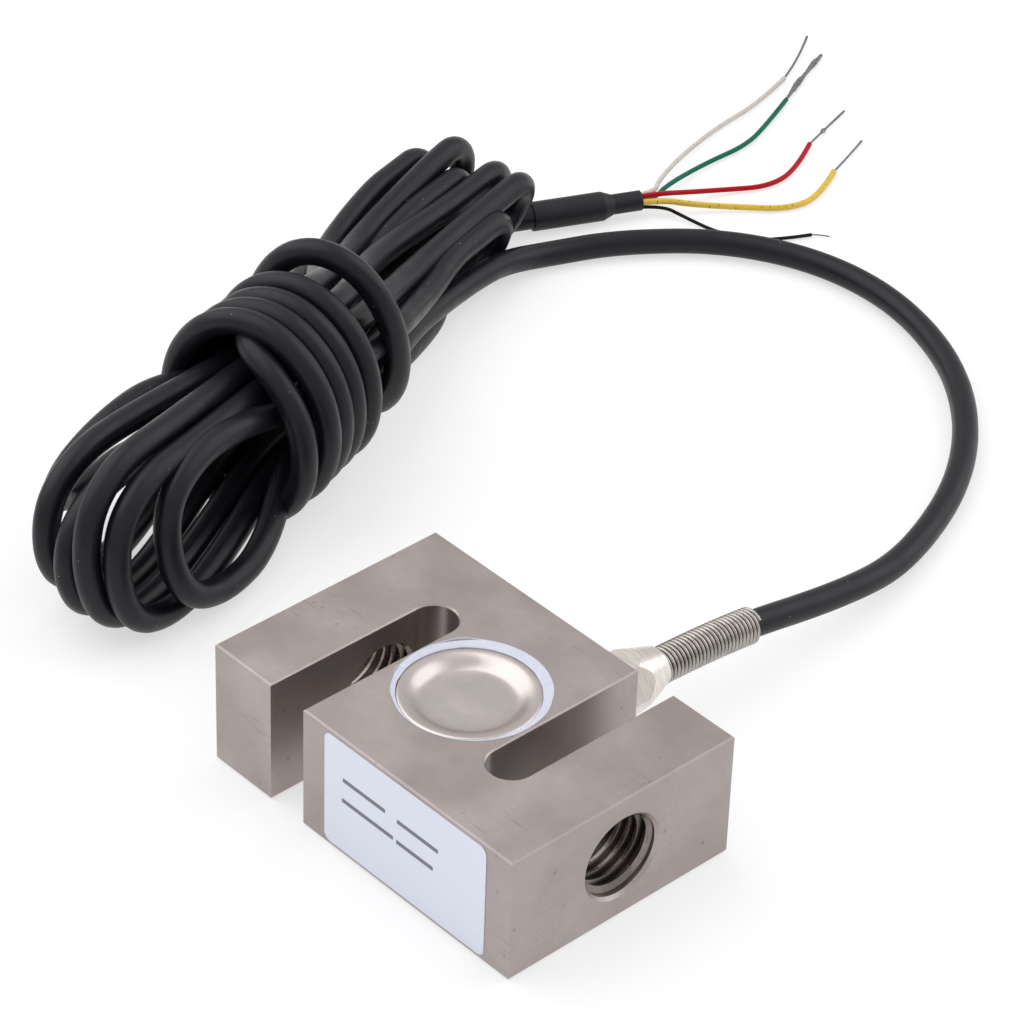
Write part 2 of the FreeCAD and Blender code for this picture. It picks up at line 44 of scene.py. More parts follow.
# ---- sizes shared with the solids --------------------------------------------------------------
BLOCK_WIDTH = 50.8
BLOCK_THICKNESS = 25.4
HALF_WIDTH = BLOCK_WIDTH / 2
MID_Z = BLOCK_THICKNESS / 2
GLAND_TIP_Y = HALF_WIDTH + 15.0
CABLE_RADIUS = 2.6
THREAD_RADIUS = 8.0
THREAD_PITCH = 2.0
SEAT_RADIUS = 14.0
CUP_RADIUS = 12.7
CUP_OFF_CENTRE = -0.6
SPRING_IN_NOSE = 1.2        # how far the spring reaches into the gland's nose
SPRING_START = GLAND_TIP_Y - SPRING_IN_NOSE
SPRING_LENGTH = 24.4        # with the part inside the nose
SLEEVE_MOUTH = Vector((-120.2, 155.8, 3.15))
SLEEVE_BEARING = 65.8
JACKET_END = 9.0            # from the sleeve's mouth back to where the cores part
TAIL_STRAIGHT = 25.0        # and back to where the cable lies straight, just behind the sleeve


def bearing(degrees):
    """Level direction at an angle from the x axis."""
    return Vector((math.cos(math.radians(degrees)), math.sin(math.radians(degrees)), 0.0))


# ---- camera ------------------------------------------------------------------------------------
CAMERA_AIM = Vector((-58.78, 63.67, 0.0))       # where its axis meets the floor
CAMERA_DISTANCE = 828.78
CAMERA_BEARING = -43.484
CAMERA_ELEVATION = 36.170
CAMERA_ROLL = 2.002
CAMERA_LENS = 153.25
CAMERA_SENSOR = 36.0
CAMERA_CLIP = (0.01, 50.0)                      # in metres


def make_camera():
    data = bpy.data.cameras.new("camera")
    data.lens = CAMERA_LENS
    data.sensor_width = CAMERA_SENSOR
    data.clip_start, data.clip_end = CAMERA_CLIP
    camera = bpy.data.objects.new("camera", data)
    turn = (Matrix.Rotation(math.radians(CAMERA_BEARING + 90), 4, "Z")
            @ Matrix.Rotation(math.radians(90 - CAMERA_ELEVATION), 4, "X"))
    back = turn @ Vector((0, 0, 1))
    place = Matrix.Translation((CAMERA_AIM + back * CAMERA_DISTANCE) * MM)
    camera.matrix_world = place @ turn @ Matrix.Rotation(math.radians(CAMERA_ROLL), 4, "Z")
    bpy.context.collection.objects.link(camera)
    bpy.context.scene.camera = camera


make_camera()

# ---- the cable's line --------------------------------------------------------------------------
# from inside the gland to the hank of cable that lies beside the block
CABLE_ROUTE = [
    (4.25, 17.0, 12.7), (4.25, 52.0, 12.7), (5.2, 88.0, 5.7), (2.4, 109.0, 2.6),
    (-9.5, 137.0, 2.6), (-30.0, 158.5, 2.6), (-55.0, 169.5, 2.6), (-78.0, 169.5, 2.6),
    (-98.0, 159.5, 2.6), (-112.0, 142.0, 2.6), (-118.5, 126.0, 2.6),
]
# The hank has its own frame: stations along it, places across it, and heights above the floor.
# Its near end lies at negative stations and its far end, by the sleeve, at positive ones.
HANK_MIDDLE = Vector((-108.0, 35.0, 0.0))
HANK_BEARING = 104.8
# from the free run of the cable to the first turn
LEAD_IN = [(83, 11.0, 4.6), (74, 11, 7.2), (60, 11, 8.6), (40, 13.5, 11.5)]
# One row per long turn. An end has its tip's station and then (place across, height) of the
# strand that runs into it and of the one that leaves it. The waist has its lower strand and its
# upper one, and half_way the upper and the lower strand between the waist and the far end.
TURNS = [
    dict(near=(-50.6, (27.4, 4.0), (20.6, 29.4)), waist=((19.5, 12.5), (21.2, 24.5)),
         far=(82.0, (9.4, 15.6), (5.4, 2.8)), half_way=((12.0, 14.5), (9.3, 2.7))),
    dict(near=(-61.0, (22.3, 2.7), (18.0, 30.0)), waist=((16.4, 8.6), (17.0, 28.8)),
         far=(95.0, (6.5, 17.2), (2.2, 4.0)), half_way=((7.0, 16.6), (1.5, 2.7))),
    dict(near=(-63.3, (16.8, 2.7), (13.3, 32.6)), waist=((11.3, 8.3), (12.0, 30.5)),
         far=(96.6, (-0.5, 16.6), (-4.1, 3.2)), half_way=((-1.8, 17.6), (-3.8, 2.7))),
    dict(near=(-61.8, (10.8, 2.7), (8.0, 24.6)), waist=((5.6, 10.6), (6.8, 22.8)),
         far=(89.4, (-5.4, 16.8), (-8.6, 2.7)), half_way=((-5.2, 12.8), (-8.6, 2.7))),
    dict(near=(-58.0, (2.8, 2.7), (0.4, 26.6)), waist=((0.8, 15.0), (6.1, 28.4)),
         far=(92.0, (-17.0, 16.2), (-14.0, 3.0)), half_way=((-14.8, 11.8), (-13.6, 2.7))),
    dict(near=(-44.2, (-9.0, 8.6), (-3.6, 24.6)), waist=((7.6, 17.0), (1.8, 23.9))),
]
# shape of a turn's ends: distance in from the tip, and share of the way between its strands
NEAR_END = [(24, 0.03), (11, -0.02), (1.2, 0.13), (-1.6, 0.5), (1.6, 0.86), (11, 1.04), (24, 1.02)]
FAR_END = [(20, 0.0), (8.6, 0.0), (3.1, 0.0), (-0.8, 0.29), (-0.8, 0.71), (3.1, 1.0), (8.6, 1.0),
           (18, 1.0)]
WAIST_STATIONS_IN = (22, 6, -8)     # of the strand that runs towards the near end
WAIST_STATIONS_OUT = (-10, 6)       # of the strand that comes back
WAIST_LEAVING = 22                  # station where that one leaves the waist
WAIST_DROP = 1.5                    # and how much lower it lies there
HALF_WAY_OUT = 50                   # station of the upper strand half way to the far end
HALF_WAY_BACK = 55                  # and of the lower one
# the last strand, from the waist round the far end and back over the hank to the wraps
LAST_STRAND = [
    (48, -9, 8.2), (72, -11, 6.2), (87.4, -11, 6.0), (92.9, -11, 6.0), (96.8, -10.8, 9.9),
    (96.8, -10.4, 15.5), (92.9, -10.2, 19.4), (87.4, -10.1, 19.4), (76, -10, 18), (58, -10, 14.9),
    (38, -2, 20.5), (22, 4, 28.5), (8, 7.5, 33.0), (-4, 8.8, 35.8), (-12, 12.6, 37.2),
]
# wraps: stations at the left, top, right and bottom, middle across, half width, top height
WRAPS = [
    (-14.5, -14.5, -17.0, -15.5, 13.0, 16.2, 36.6),
    (-12.5, -10.0, -10.0, -9.0, 12.9, 16.8, 40.3),
    (-7.0, -5.0, -4.6, -3.6, 12.6, 16.2, 39.8),
    (-1.8, 0.0, 0.4, 1.6, 12.4, 15.8, 39.4),
    (3.4, 5.4, 6.0, 8.0, 12.0, 15.9, 39.8),
    (11.5, 14.8, 21.0, 27.0, 10.7, 13.4, 42.1),
]
WRAP_STEPS = 12
FIRST_STEP = 4              # of the first wrap, which starts just past its top
WRAP_LOW = 2.7
LAST_WRAP_LEAD = 4.0        # from the last wrap's bottom on to the next place at the left
# from the last wrap to the sleeve
LEAD_OUT = [(40, -13, 14), (54, -17.5, 8), (68, -18, 4.2), (80, -13.5, 3.15), (91, -4.2, 3.15)]


def in_hank(station, across, height):
    """Place in the frame, from one in the hank's own directions."""
    sideways = bearing(HANK_BEARING - 90) * across
    return HANK_MIDDLE + bearing(HANK_BEARING) * station + sideways + Vector((0, 0, height))


def turn_end(tip, first, second, shape, sign):
    """Points round one end of a long turn, from its first strand to its second."""
    points = []
    for distance, share in shape:
        across = first[0] + (second[0] - first[0]) * min(max(share, 0), 1)
        height = first[1] + (second[1] - first[1]) * share
        points.append((tip + sign * distance, across, height))
    return points


def long_turn(near, waist, far=None, half_way=None):
    """Points of a turn: waist, near end, waist, and then the far end where the turn has one."""
    low, high = waist
    points = [(station, *low) for station in WAIST_STATIONS_IN]
    points += turn_end(*near, NEAR_END, 1)
    points += [(station, *high) for station in WAIST_STATIONS_OUT]
    points.append((WAIST_LEAVING, high[0], high[1] - WAIST_DROP))
    if far:
        out, back = half_way
        points.append((HALF_WAY_OUT, *out))
        points += turn_end(*far, FAR_END, -1)
        points.append((HALF_WAY_BACK, *back))
    return points


def wrap_points():
    """The wraps round the waist, from just past the top of the first to the end of the last."""
    points = []
    grow = 1 / math.cos(math.pi / WRAP_STEPS)   # control points lie outside the line they draw
    for number, (left, top, right, bottom, middle, half_width, high) in enumerate(WRAPS):
        following = WRAPS[number + 1][0] if number + 1 < len(WRAPS) else bottom + LAST_WRAP_LEAD
        stations = [left, top, right, bottom, following]
        half_height = (high - WRAP_LOW) / 2
        for step in range(FIRST_STEP if number == 0 else 0, WRAP_STEPS):
            quarter, part = divmod(4 * step / WRAP_STEPS, 1)
            quarter = int(quarter)
            station = stations[quarter] + (stations[quarter + 1] - stations[quarter]) * part
            angle = math.pi - 2 * math.pi * step / WRAP_STEPS
            points.append((station, middle + half_width * grow * math.cos(angle),
                           WRAP_LOW + half_height + half_height * grow * math.sin(angle)))
    return points


def cable_points():
    """Control points of the whole cable, from inside the gland to inside the sleeve."""
    hank = list(LEAD_IN)
    for turn in TURNS:
        hank += long_turn(**turn)
    hank += LAST_STRAND + wrap_points() + LEAD_OUT
    way = bearing(SLEEVE_BEARING)
    tail = [SLEEVE_MOUTH - way * TAIL_STRAIGHT, SLEEVE_MOUTH - way * JACKET_END]
    return [Vector(point) for point in CABLE_ROUTE] + [in_hank(*point) for point in hank] + tail


# ---- materials ---------------------------------------------------------------------------------
def linear(red, green, blue):
    """Colour in the renderer's linear values, from the 0 to 1 values seen on a screen."""
    return tuple(c / 12.92 if c < 0.04045 else ((c + 0.055) / 1.055) ** 2.4
                 for c in (red, green, blue)) + (1.0,)


def shaded(colour, factor):
    """Lighter or darker version of a linear colour."""
    return tuple(min(1.0, channel * factor) for channel in colour[:3]) + (1.0,)


# every colour as it looks on a screen, by name
SHADES = {name: linear(*screen) for name, screen in {
    "steel_dark": (0.640, 0.600, 0.590),
    "steel_light": (0.722, 0.682, 0.674),
    "steel_lines": (0.60, 0.565, 0.55),
    "steel_scratch": (0.50, 0.46, 0.45),
    "steel_fleck": (0.34, 0.31, 0.30),
    "thread_dark": (0.36, 0.33, 0.31),
    "thread_light": (0.62, 0.59, 0.57),
    "cup": (0.755, 0.72, 0.705),
    "cup_spot": (0.70, 0.67, 0.655),
    "sealant_dark": (0.735, 0.75, 0.80),
    "sealant_light": (0.815, 0.825, 0.885),
    "label_dark": (0.836, 0.85, 0.905),
    "label_light": (0.856, 0.87, 0.925),
    "label_print": (0.25, 0.25, 0.29),
    "gland": (0.92, 0.89, 0.86),
    "spring": (0.70, 0.68, 0.66),
    "tin": (0.50, 0.50, 0.50),
    "jacket": (0.06, 0.058, 0.085),
    "sleeve": (0.09, 0.09, 0.105),
    "seal": (0.13, 0.13, 0.13),
    "dust": (0.62, 0.62, 0.64),
    "dirt": (0.16, 0.12, 0.08),
    "foil": (0.76, 0.52, 0.22),
    "laminate": (0.10, 0.35, 0.16),
    "ceramic": (0.10, 0.10, 0.11),
    "core": (0.75, 0.74, 0.70),
    "wire_white": (0.80, 0.77, 0.75),
    "wire_green": (0.0, 0.40, 0.32),
    "wire_red": (0.68, 0.03, 0.11),
    "wire_yellow": (0.87, 0.73, 0.31),
    "wire_black": (0.08, 0.08, 0.09),
    "paper": (0.985, 0.985, 0.985),
}.items()}
WHITE = (1.0, 1.0, 1.0, 1.0)
NOISE_SPAN = (0.3, 0.7)             # where most of a noise's values lie
MIX_SHARE, MIX_FIRST, MIX_SECOND, MIX_RESULT = 0, 6, 7, 2   # a Mix node's colour sockets
MATERIALS = {}                      # by the name of the slot that each one is for


class Finish:
    """A material under construction: its nodes are fed from places on the object."""

    def __init__(self, name, metallic=0.0, roughness=0.5, specular=0.5):
        self.material = bpy.data.materials.new(name)
        MATERIALS[name] = self.material
        self.material.use_nodes = True
        self.tree = self.material.node_tree
        self.shader = self.tree.nodes["Principled BSDF"]
        self.shader.inputs["Metallic"].default_value = metallic
        self.shader.inputs["Roughness"].default_value = roughness
        self.shader.inputs["Specular IOR Level"].default_value = specular
        self.place = self.tree.nodes.new("ShaderNodeTexCoord").outputs["Object"]

    def node(self, kind, links=(), **settings):
        """New node with the given settings; links are pairs of input and what feeds it."""
        node = self.tree.nodes.new(kind)
        for key, value in settings.items():
            setattr(node, key, value)
        for socket, source in links:
            if isinstance(source, bpy.types.NodeSocket):
                self.tree.links.new(source, node.inputs[socket])
            else:
                node.inputs[socket].default_value = source
        return node

    def feed(self, socket, source):
        """Joins a value to one of the shader's own inputs."""
        self.tree.links.new(source, self.shader.inputs[socket])

    def stretched(self, factors=(1, 1, 1), shift=(0, 0, 0)):
        """Places in millimetres, times a factor for each axis."""
        scale = tuple(factor / MM for factor in factors)
        return self.node("ShaderNodeMapping", [("Vector", self.place), ("Scale", scale),
                                               ("Location", shift)]).outputs[0]

    def axes(self, places):
        """The x, y and z of places."""
        return self.node("ShaderNodeSeparateXYZ", [(0, places)]).outputs

    def noise(self, scale, factors=(1, 1, 1), detail=3.0, rough=0.55, shift=(0, 0, 0)):
        """Smooth random values from 0 to 1, with the scale in cycles per millimetre."""
        return self.node("ShaderNodeTexNoise", [("Vector", self.stretched(factors, shift)),
                                                ("Scale", scale), ("Detail", detail),
                                                ("Roughness", rough)]).outputs[0]

    def specks(self, scale, edge, core, factors=(1, 1, 1)):
        """1 within the core of scattered spots, falling to 0 at their edge; both are radii."""
        cells = self.node("ShaderNodeTexVoronoi", [("Vector", self.stretched(factors)),
                                                   ("Scale", scale)])
        return self.between(cells.outputs["Distance"], edge, core)

    def between(self, source, low, high, at_low=0.0, at_high=1.0):
        """A value that runs from at_low to at_high while the source runs from low to high."""
        return self.node("ShaderNodeMapRange", [("Value", source), ("From Min", low),
                                                ("From Max", high), ("To Min", at_low),
                                                ("To Max", at_high)]).outputs[0]

    def maths(self, operation, first, second=0.0, third=0.0):
        return self.node("ShaderNodeMath", [(0, first), (1, second), (2, third)],
                         operation=operation).outputs[0]

    def times(self, first, second):
        return self.maths("MULTIPLY", first, second)

    def within(self, source, low, high):
        """1 where the source lies between low and high, and 0 elsewhere."""
        return self.maths("COMPARE", source, (low + high) / 2, (high - low) / 2)

    def blend(self, share, first, second):
        """Colour that goes from the first to the second as the share goes from 0 to 1."""
        return self.node("ShaderNodeMix", [(MIX_SHARE, share), (MIX_FIRST, first),
                                           (MIX_SECOND, second)],
                         data_type="RGBA").outputs[MIX_RESULT]

    def bump(self, height, depth, strength):
        """Relief from a value of 0 to 1, depth being in millimetres."""
        node = self.node("ShaderNodeBump", [("Height", height), ("Distance", depth * MM),
                                            ("Strength", strength)])
        self.feed("Normal", node.outputs[0])


def nickel_steel():
    """Ground block under dull nickel: fine lines, cloudy patches, stray scratches and flecks."""
    finish = Finish("nickel_steel", metallic=1.0)
    clouds = finish.noise(0.07, rough=0.5)
    grain = finish.noise(1.0, (0.35, 5.0, 5.0), detail=4.0)
    fine = finish.noise(2.2, detail=1.0)
    streaks = finish.noise(1.0, (0.09, 2.6, 2.6), detail=1.0, shift=(3, 7, 1))
    sparse = finish.noise(0.045, detail=1.0, shift=(9, 2, 5))
    lines = finish.between(grain, 0.35, 0.7, at_high=0.35)
    scratch = finish.times(finish.between(streaks, 0.68, 0.71), finish.between(sparse, 0.45, 0.55))
    fleck = finish.times(finish.specks(0.4, 0.1, 0.04, (1.0, 0.45, 0.45)),
                         finish.between(sparse, 0.43, 0.5))
    tone = finish.blend(finish.between(clouds, *NOISE_SPAN), SHADES["steel_dark"],
                        SHADES["steel_light"])
    tone = finish.blend(lines, tone, SHADES["steel_lines"])
    tone = finish.blend(finish.times(scratch, 0.5), tone, SHADES["steel_scratch"])
    tone = finish.blend(finish.times(fleck, 0.35), tone, SHADES["steel_fleck"])
    finish.feed("Base Color", tone)
    finish.feed("Roughness", finish.between(clouds, *NOISE_SPAN, at_low=0.35, at_high=0.42))
    relief = finish.maths("ADD", grain, finish.times(fine, 0.4))
    finish.bump(finish.maths("SUBTRACT", relief, scratch), depth=0.006, strength=0.8)


def thread_steel():
    """Cut thread flanks: bright, with rings left by the tool."""
    finish = Finish("thread_steel", metallic=1.0, roughness=0.27)
    rings = finish.noise(1.0, (5.0, 0.6, 0.6))
    finish.feed("Base Color", finish.blend(rings, SHADES["thread_dark"], SHADES["thread_light"]))
    finish.bump(rings, depth=0.012, strength=0.8)


def bright_cup():
    """Pressed stainless cover: satin, with a trace of rings and a faint spot in the middle."""
    finish = Finish("bright_cup", metallic=1.0)
    x, y, _ = finish.axes(finish.stretched(shift=(0, -CUP_OFF_CENTRE, 0)))
    flat = finish.node("ShaderNodeCombineXYZ", [(0, x), (1, y)]).outputs[0]
    away = finish.node("ShaderNodeVectorMath", [(0, flat)], operation="LENGTH").outputs["Value"]
    spot = finish.between(away, 3.9, 3.0)
    stain = finish.noise(0.25, detail=4.0)
    finish.feed("Base Color", finish.blend(finish.times(spot, 0.35), SHADES["cup"],
                                           SHADES["cup_spot"]))
    satin = finish.between(stain, *NOISE_SPAN, at_low=0.25, at_high=0.35)
    finish.feed("Roughness", finish.maths("ADD", satin, finish.times(spot, 0.08)))
    rings = finish.maths("SINE", finish.times(away, 9.0))
    finish.bump(finish.maths("ADD", finish.times(rings, 0.12), stain), depth=0.01, strength=0.7)


def white_sealant():
    """Pale silicone, slightly lumpy, that lets a little light in."""
    finish = Finish("white_sealant", roughness=0.3)
    lumps = finish.noise(0.9)
    finish.feed("Base Color", finish.blend(lumps, SHADES["sealant_dark"], SHADES["sealant_light"]))
    finish.shader.inputs["Subsurface Weight"].default_value = 0.15
    finish.shader.inputs["Subsurface Radius"].default_value = (0.6 * MM, 0.6 * MM, 0.6 * MM)
    finish.bump(lumps, depth=0.08, strength=0.7)


# bars on the label: left and right edge along the block, and height of the middle
LABEL_BARS = [(-4.0, 6.9, 16.6), (9.9, 20.3, 16.4), (-4.2, 9.0, 12.1), (9.8, 19.1, 11.9)]
HALF_BAR = 0.45


def label_film():
    """Pale satin sticker with plain grey bars where such a label has its print."""
    finish = Finish("label_film", roughness=0.42)
    x, _, z = finish.axes(finish.stretched())
    printed = 0.0
    for left, right, height in LABEL_BARS:
        bar = finish.times(finish.within(x, left, right),
                           finish.within(z, height - HALF_BAR, height + HALF_BAR))
        printed = finish.maths("MAXIMUM", bar, printed)
    paper = finish.blend(finish.noise(2.0, detail=1.0), SHADES["label_dark"],
                         SHADES["label_light"])
    finish.feed("Base Color", finish.blend(finish.times(printed, 0.85), paper,
                                           SHADES["label_print"]))
    finish.bump(finish.noise(0.6, detail=2.0), depth=0.012, strength=0.6)


def plated(name, colour, roughness, lines, depth):
    """Bright metal with tool lines; lines are the factors along each axis."""
    finish = Finish(name, metallic=1.0)
    marks = finish.noise(1.0, lines, detail=4.0)
    finish.feed("Base Color", finish.blend(finish.between(marks, 0.4, 0.7), colour,
                                           shaded(colour, 0.72)))
    finish.feed("Roughness", finish.between(marks, *NOISE_SPAN, at_low=roughness - 0.05,
                                            at_high=roughness + 0.1))
    finish.bump(marks, depth=depth, strength=0.8)


def black_plastic(name, colour, roughness, wave, dust):
    """Soft black jacket: slow waviness, fine tooth and a few pale specks of dust."""
    finish = Finish(name, specular=0.28)
    slow = finish.noise(0.16, detail=2.0)
    tooth = finish.noise(1.5, detail=1.0)
    some = finish.between(finish.noise(0.3, detail=0.0, shift=(4, 4, 4)), 0.52, 0.54)
    speck = finish.times(finish.times(finish.specks(0.42, 0.05, 0.035), some), dust)
    tone = finish.blend(slow, colour, shaded(colour, 1.5))
    finish.feed("Base Color", finish.blend(speck, tone, SHADES["dust"]))
    finish.feed("Roughness", finish.between(slow, *NOISE_SPAN, at_low=roughness - 0.06,
                                            at_high=roughness + 0.08))
    finish.bump(finish.maths("ADD", finish.times(slow, wave), finish.times(tooth, 0.1)),
                depth=0.12, strength=0.6)


def insulation(name, marks):
    """Thin coloured wire skin, with small dark handling marks as strong as the value says."""
    colour = SHADES[name]
    finish = Finish(name, roughness=0.33, specular=0.12)
    slow = finish.noise(0.5, detail=2.0)
    dirt = finish.between(finish.noise(1.6, detail=1.0, shift=(2, 5, 8)), 0.66, 0.72)
    tone = finish.blend(slow, shaded(colour, 0.78), colour)
    finish.feed("Base Color", finish.blend(finish.times(dirt, marks), tone, SHADES["dirt"]))
    finish.bump(slow, depth=0.05, strength=0.6)


def inner_part(name, colour, roughness, scale):
    """Part that the covers hide: its colour broken up at the given scale."""
    finish = Finish(name, roughness=roughness)
    weave = finish.noise(scale)
    finish.feed("Base Color", finish.blend(weave, shaded(colour, 0.7), colour))
    finish.bump(weave, depth=0.02, strength=0.6)


nickel_steel()
thread_steel()
bright_cup()
white_sealant()
label_film()
plated("gland_nickel", SHADES["gland"], 0.26, lines=(0.3, 1.6, 0.3), depth=0.004)
plated("spring_steel", SHADES["spring"], 0.24, lines=(0.6, 0.6, 0.6), depth=0.002)
plated("tinned_wire", SHADES["tin"], 0.3, lines=(2.0, 2.0, 2.0), depth=0.004)
black_plastic("cable_jacket", SHADES["jacket"], 0.37, wave=1.0, dust=0.8)
black_plastic("sleeve_black", SHADES["sleeve"], 0.45, wave=1.6, dust=0.5)
black_plastic("seal_rubber", SHADES["seal"], 0.6, wave=1.0, dust=0.0)
inner_part("gauge_foil", SHADES["foil"], 0.35, scale=3.0)
inner_part("board_laminate", SHADES["laminate"], 0.45, scale=4.0)
inner_part("resistor_ceramic", SHADES["ceramic"], 0.5, scale=5.0)
inner_part("core_insulation", SHADES["core"], 0.4, scale=1.0)
insulation("wire_white", marks=0.3)
insulation("wire_green", marks=0.3)
insulation("wire_red", marks=0.3)
insulation("wire_yellow", marks=0.8)
insulation("wire_black", marks=0.3)


def dress(nodes):
    """Gives each solid the finish that its own material slot names."""
    for node in nodes.values():
        name = node.data.materials[0].name
        node.data.materials.clear()
        node.data.materials.append(MATERIALS[name])


dress(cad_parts)


# ---- helpers for pieces ------------------------------------------------------------------------
def link(piece, finish):
    """Puts a piece in the scene with its finish, on the body that everything rides on."""
    bpy.context.collection.objects.link(piece)
    piece.data.materials.append(MATERIALS[finish])
    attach(piece, "root")
    return piece


def curve_object(name, kind, routes, radius, sides):
    """One object of round lines, each with its own list of points."""
    data = bpy.data.curves.new(name, "CURVE")
    data.dimensions = "3D"
    for route in routes:
        spline = data.splines.new(kind)
        spline.points.add(len(route) - 1)
        for knot, point in zip(spline.points, route):
            knot.co = (*(point * MM), 1.0)
    data.bevel_depth = radius * MM
    data.bevel_resolution = sides
    data.use_fill_caps = True
    return bpy.data.objects.new(name, data)


def nurbs_cord(name, points, radius, resolution=10, sides=8):
    """Smooth round cord: one open spline with the points as its control points."""
    cord = curve_object(name, "NURBS", [points], radius, sides)
    spline = cord.data.splines[0]
    spline.order_u = 3
    spline.use_endpoint_u = True
    spline.resolution_u = resolution
    return cord


def line_of(points, resolution=16):
    """Points along the smooth line of such a cord."""
    thin = nurbs_cord("line", points, 0.0, resolution)
    mesh = bpy.data.meshes.new_from_object(thin)
    line = [vertex.co / MM for vertex in mesh.vertices]
    bpy.data.meshes.remove(mesh)
    bpy.data.objects.remove(thin)
    return line


def places_along(line, start, length, count):
    """Evenly spaced places on a line, each with two directions square to it."""
    places, walked, index, side = [], 0.0, 0, None
    for step in range(count + 1):
        target = start + length * step / count
        while index < len(line) - 2 and walked + (line[index + 1] - line[index]).length < target:
            walked += (line[index + 1] - line[index]).length
            index += 1
        ahead = (line[index + 1] - line[index]).normalized()
        if side is None:
            side = ahead.orthogonal().normalized()
        side = (side - ahead * side.dot(ahead)).normalized()
        places.append((line[index] + ahead * (target - walked), side, ahead.cross(side)))
    return places


def round_way(side, up, degrees):
    """Direction at an angle between two that are square to each other."""
    return side * math.cos(math.radians(degrees)) + up * math.sin(math.radians(degrees))


def mesh_piece(name, vertices, faces, smooth=True):
    mesh = bpy.data.meshes.new(name)
    mesh.from_pydata([Vector(vertex) * MM for vertex in vertices], [], faces)
    for face in mesh.polygons:
        face.use_smooth = smooth
    mesh.update()
    return bpy.data.objects.new(name, mesh)


def quads(step, following, rows, closed, flipped=False):
    """Faces between two neighbouring rows of vertices of a swept surface."""
    faces = []
    for row in range(rows if closed else rows - 1):
        over = (row + 1) % rows
        first, *rest = (step * rows + row, following * rows + row,
                        following * rows + over, step * rows + over)
        faces.append((first, *reversed(rest)) if flipped else (first, *rest))
    return faces


# ---- cable and its spring ----------------------------------------------------------------------
CABLE_POINTS = cable_points()
cable = link(nurbs_cord("cable_line", CABLE_POINTS, CABLE_RADIUS), "cable_jacket")
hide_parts("signal_cable", "cable_hank", "cable_tail")

SPRING_COILS = 27
SPRING_RADIUS = 3.1         # to the middle of its wire
SPRING_WIRE_RADIUS = 0.38
COIL_STEPS = 24


def spring_route():
    """Close coils round the cable, from inside the gland's nose."""
    line = line_of(CABLE_POINTS[:6])    # well past the spring's end
    start = SPRING_START - CABLE_POINTS[0].y
    places = places_along(line, start, SPRING_LENGTH, SPRING_COILS * COIL_STEPS)
    return [place + round_way(side, up, 360 * step / COIL_STEPS) * SPRING_RADIUS
            for step, (place, side, up) in enumerate(places)]


spring = link(curve_object("relief_spring", "POLY", [spring_route()], SPRING_WIRE_RADIUS, sides=3),
              "spring_steel")
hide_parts("strain_relief_spring")

# ---- wires at the free end ---------------------------------------------------------------------
CORE_CIRCLE_RADIUS = 1.05   # on which the cores lie round the middle of the sleeve's mouth
CORE_FREE = 3.5             # from the mouth on to where a core starts to bend away
# turn is the place round the mouth in degrees, and route goes on from the mouth
WIRES = {
    "white": dict(radius=0.52, length=74.0, turn=162.0,
                  route=[(-124.6, 165.4, 2.2), (-130.4, 178.4, 0.8), (-134.0, 192.6, 0.55),
                         (-135.4, 206.0, 0.55), (-139.4, 218.2, 0.55)]),
    "green": dict(radius=0.52, length=67.0, turn=234.0,
                  route=[(-122.4, 165.0, 1.8), (-124.8, 179.8, 0.7), (-124.6, 192.0, 0.55),
                         (-128.4, 202.4, 0.55), (-132.6, 212.0, 0.55)]),
    "red": dict(radius=0.55, length=59.0, turn=90.0,
                route=[(-117.6, 166.2, 2.2), (-114.4, 175.2, 0.8), (-109.6, 183.6, 0.58),
                       (-110.6, 192.8, 0.58), (-116.2, 202.6, 0.58)]),
    "yellow": dict(radius=0.65, length=59.0, turn=18.0,
                   route=[(-113.8, 164.8, 1.6), (-107.0, 173.2, 0.8), (-100.4, 180.6, 0.68),
                          (-99.8, 189.0, 0.68), (-104.8, 198.4, 0.68)]),
    "black": dict(radius=0.38, length=47.0, turn=306.0,
                  route=[(-111.4, 161.4, 0.6), (-104.0, 162.6, 0.4), (-96.8, 166.4, 0.4),
                         (-92.6, 172.8, 0.4), (-90.6, 177.2, 0.4)]),
}
# bare strands: radius of the whole, its filaments and their turns, route on from the insulation,
# and swellings as share of the way, width and how much wider
STRANDS = {
    "white": dict(radius=0.26, filaments=6, turns=5.0, swellings=[(1.0, 0.12, 0.3)],
                  route=[(-143.2, 226.4, 0.3), (-149.4, 235.6, 0.3)]),
    "green": dict(radius=0.34, filaments=11, turns=2.5,
                  swellings=[(0.35, 0.16, 2.4), (0.8, 0.14, 2.0)],
                  route=[(-137.4, 221.6, 0.4), (-141.4, 232.0, 0.4)]),
    "red": dict(radius=0.24, filaments=5, turns=5.0,
                swellings=[(0.4, 0.035, 3.0), (0.8, 0.2, 0.4)],
                route=[(-118.6, 209.6, 0.3), (-121.4, 218.8, 0.3)]),
    "yellow": dict(radius=0.24, filaments=5, turns=5.0, swellings=[(1.0, 0.08, 0.6)],
                   route=[(-107.4, 205.4, 0.3), (-110.2, 212.6, 0.3)]),
    "black": dict(radius=0.15, filaments=4, turns=1.5, swellings=[],
                  route=[(-89.4, 178.8, 0.3), (-87.8, 179.8, 0.25)]),
}
STRAND_SEED = 7
STRAND_STEPS = 80
STRAND_RESOLUTION = 24
LOOSENESS = (0.5, 1.0)      # range of how far a filament follows the swellings
STRAND_REACH = 0.995        # share of its line that a strand covers
# sizes within a strand, as shares of its radius
FILAMENT_RADIUS = 0.44
FILAMENT_CIRCLE = 0.6
FILAMENT_LOW = 0.45         # lowest middle of a filament above the floor


